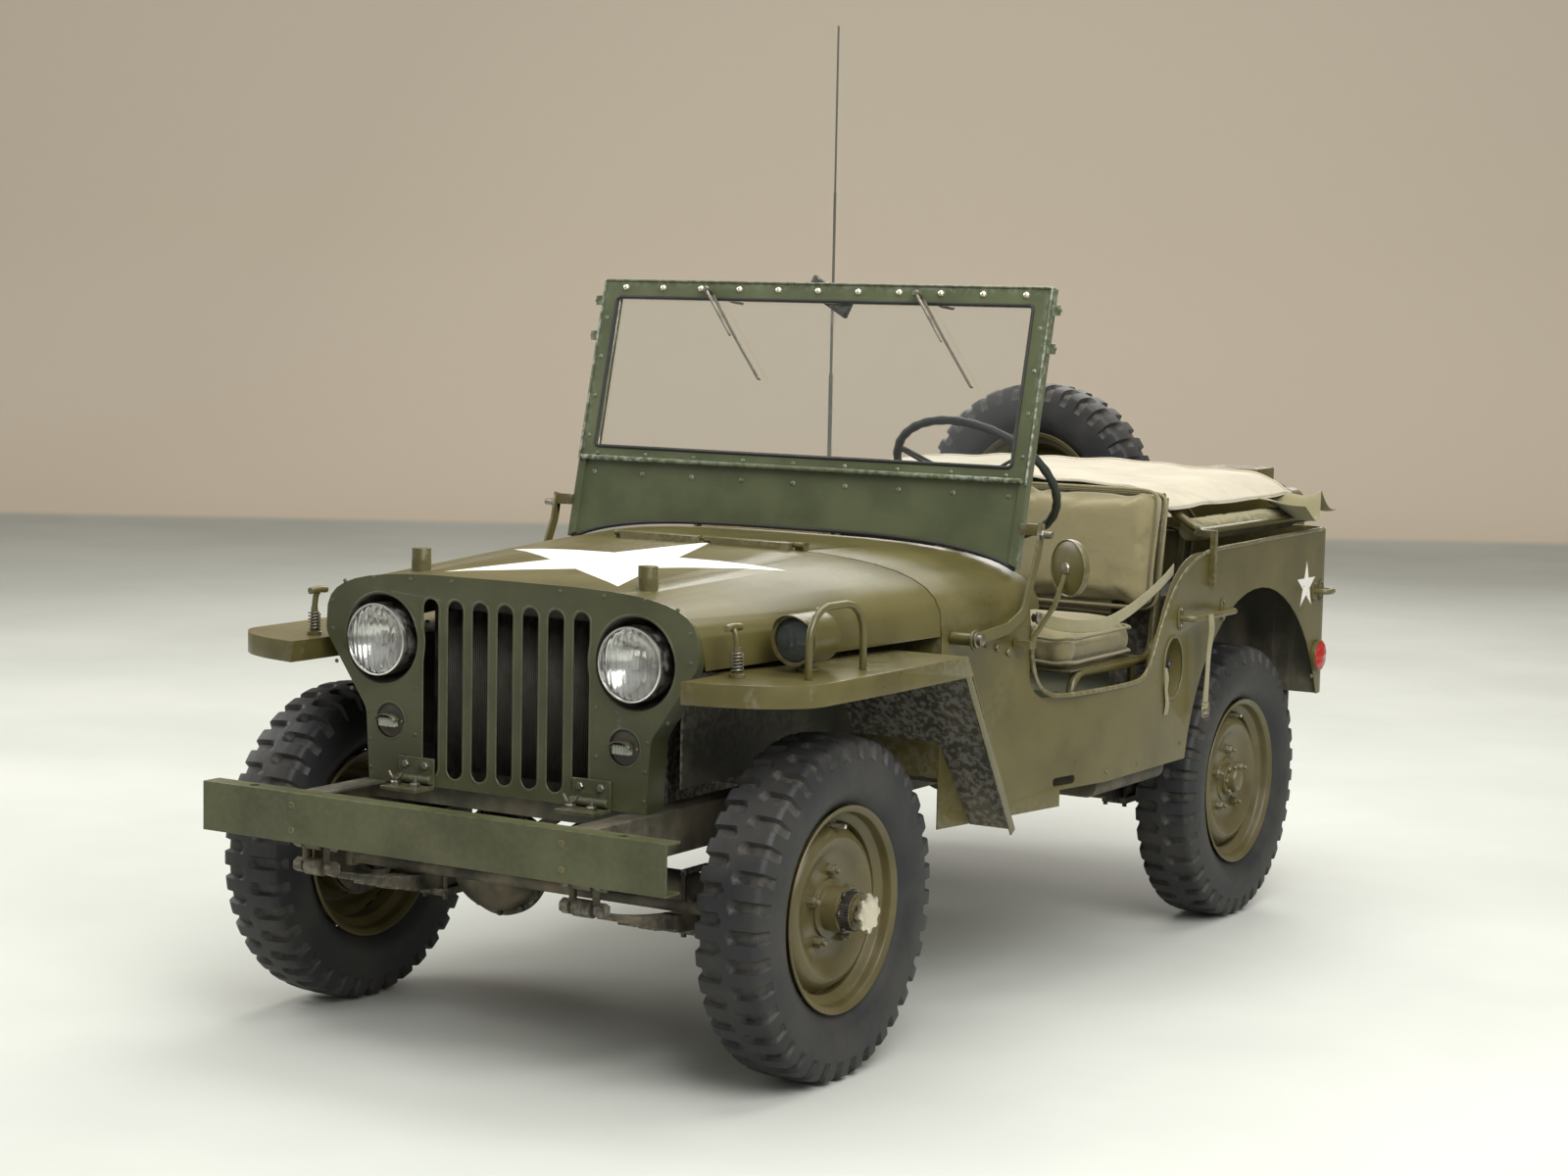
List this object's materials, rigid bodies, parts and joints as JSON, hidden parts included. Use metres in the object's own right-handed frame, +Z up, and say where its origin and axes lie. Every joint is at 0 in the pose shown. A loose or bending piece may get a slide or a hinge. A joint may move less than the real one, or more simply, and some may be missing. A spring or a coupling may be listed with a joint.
{
  "type": "light open 4x4 utility car",
  "caption": "Open four-wheel-drive utility car with slotted grille, fold-down windscreen, lifting hood, steered front wheels, bench-style front seats, bowed canvas cover and rear spare wheel.",
  "frame": {"origin": "on the ground under the middle of the car's overall length, on its centre plane", "axes": "+X to the car's left, +Y to its rear, +Z up"},
  "size_m": [1.6337, 3.3361, 2.38],
  "materials": {
    "olive_drab_paint": "semi-gloss, worn",
    "dark_chassis_paint": "matt, dusty",
    "seat_canvas": "coarse weave",
    "cover_canvas": "pale weathered weave",
    "tyre_rubber": "dusty",
    "lamp_glass": "clear",
    "red_lens": "ribbed",
    "wheel_grip": "satin"
  },
  "bodies": {
    "car": {"chassis_frame": "dark_chassis_paint", "front_bumper": "olive_drab_paint", "rear_bumpers": "olive_drab_paint", "pintle_hook": "olive_drab_paint", "front_axle": "dark_chassis_paint", "rear_axle": "dark_chassis_paint", "leaf_springs": "dark_chassis_paint", "engine_and_gearbox": "dark_chassis_paint", "propeller_shafts": "dark_chassis_paint", "exhaust": "dark_chassis_paint", "fuel_tank": "dark_chassis_paint", "radiator": "dark_chassis_paint", "grille": "olive_drab_paint", "headlamps": "lamp_glass", "marker_lamps": "dark_chassis_paint", "blackout_lamp": "olive_drab_paint", "front_fenders": "olive_drab_paint", "floor_pan": "olive_drab_paint", "body_sides": "olive_drab_paint", "rear_panel": "olive_drab_paint", "wheel_boxes": "olive_drab_paint", "cowl": "olive_drab_paint", "steering_column": "dark_chassis_paint", "seat_frames": "dark_chassis_paint", "seat_cushions": "seat_canvas", "seat_backrests": "seat_canvas", "rear_seat_frame": "dark_chassis_paint", "rear_seat_pads": "seat_canvas", "top_bows": "olive_drab_paint", "canvas_cover": "cover_canvas", "canvas_bundles": "seat_canvas", "grab_handles": "olive_drab_paint", "tail_reflectors": "red_lens", "side_mirror": "olive_drab_paint", "radio_antenna": "dark_chassis_paint", "jerry_can": "olive_drab_paint", "rear_carriers": "olive_drab_paint", "spare_wheel": "olive_drab_paint", "spare_tyre": "tyre_rubber"},
    "left_knuckle": {"left_knuckle": "dark_chassis_paint"},
    "right_knuckle": {"right_knuckle": "dark_chassis_paint"},
    "tie_rod": {"tie_rod": "dark_chassis_paint"},
    "steering_wheel": {"steering_wheel": "wheel_grip"},
    "front_left_wheel": {"front_left_wheel": "olive_drab_paint", "front_left_tyre": "tyre_rubber"},
    "front_right_wheel": {"front_right_wheel": "olive_drab_paint", "front_right_tyre": "tyre_rubber"},
    "rear_left_wheel": {"rear_left_wheel": "olive_drab_paint", "rear_left_tyre": "tyre_rubber"},
    "rear_right_wheel": {"rear_right_wheel": "olive_drab_paint", "rear_right_tyre": "tyre_rubber"},
    "hood": {"hood": "olive_drab_paint"},
    "windscreen": {"windscreen_frame": "olive_drab_paint", "windscreen_arms": "olive_drab_paint", "windscreen_glass": "lamp_glass"}
  },
  "joints": [
    {"name": "steer_left", "type": "hinge", "parent": "car", "child": "left_knuckle", "pos_m": [0.545, -1.14925, 0.357], "axis": [0, 0, 1], "range_deg": [-26, 26]},
    {"name": "steer_right", "type": "hinge", "parent": "car", "child": "right_knuckle", "pos_m": [-0.545, -1.14925, 0.357], "axis": [0, 0, 1], "range_deg": [-26, 26]},
    {"name": "tie_rod_slide", "type": "slide", "parent": "car", "child": "tie_rod", "axis": [1, 0, 0], "range_m": [-0.07, 0.07]},
    {"name": "steering_wheel_turn", "type": "hinge", "parent": "car", "child": "steering_wheel", "pos_m": [0.36, -0.02225, 1.173], "axis": [0, 0.7071, 0.7071], "range_deg": [-365, 365]},
    {"name": "front_left_spin", "type": "hinge", "parent": "left_knuckle", "child": "front_left_wheel", "pos_m": [0.616, -1.14925, 0.357], "axis": [1, 0, 0], "continuous": true},
    {"name": "front_right_spin", "type": "hinge", "parent": "right_knuckle", "child": "front_right_wheel", "pos_m": [-0.616, -1.14925, 0.357], "axis": [1, 0, 0], "continuous": true},
    {"name": "rear_left_spin", "type": "hinge", "parent": "car", "child": "rear_left_wheel", "pos_m": [0.616, 0.88275, 0.357], "axis": [1, 0, 0], "continuous": true},
    {"name": "rear_right_spin", "type": "hinge", "parent": "car", "child": "rear_right_wheel", "pos_m": [-0.616, 0.88275, 0.357], "axis": [1, 0, 0], "continuous": true},
    {"name": "hood_lift", "type": "hinge", "parent": "car", "child": "hood", "pos_m": [0, -0.64125, 1.045], "axis": [-1, 0, 0], "range_deg": [0, 105]},
    {"name": "windscreen_fold", "type": "hinge", "parent": "car", "child": "windscreen", "pos_m": [0, -0.60425, 0.862], "axis": [-1, 0, 0], "range_deg": [-104, 0]}
  ],
  "couplings": [
    {"joint": "steer_right", "follows": "steer_left", "ratio": 1},
    {"joint": "tie_rod_slide", "follows": "steer_left", "m_per_rad": 0.145},
    {"joint": "steering_wheel_turn", "follows": "steer_left", "ratio": 14}
  ]
}
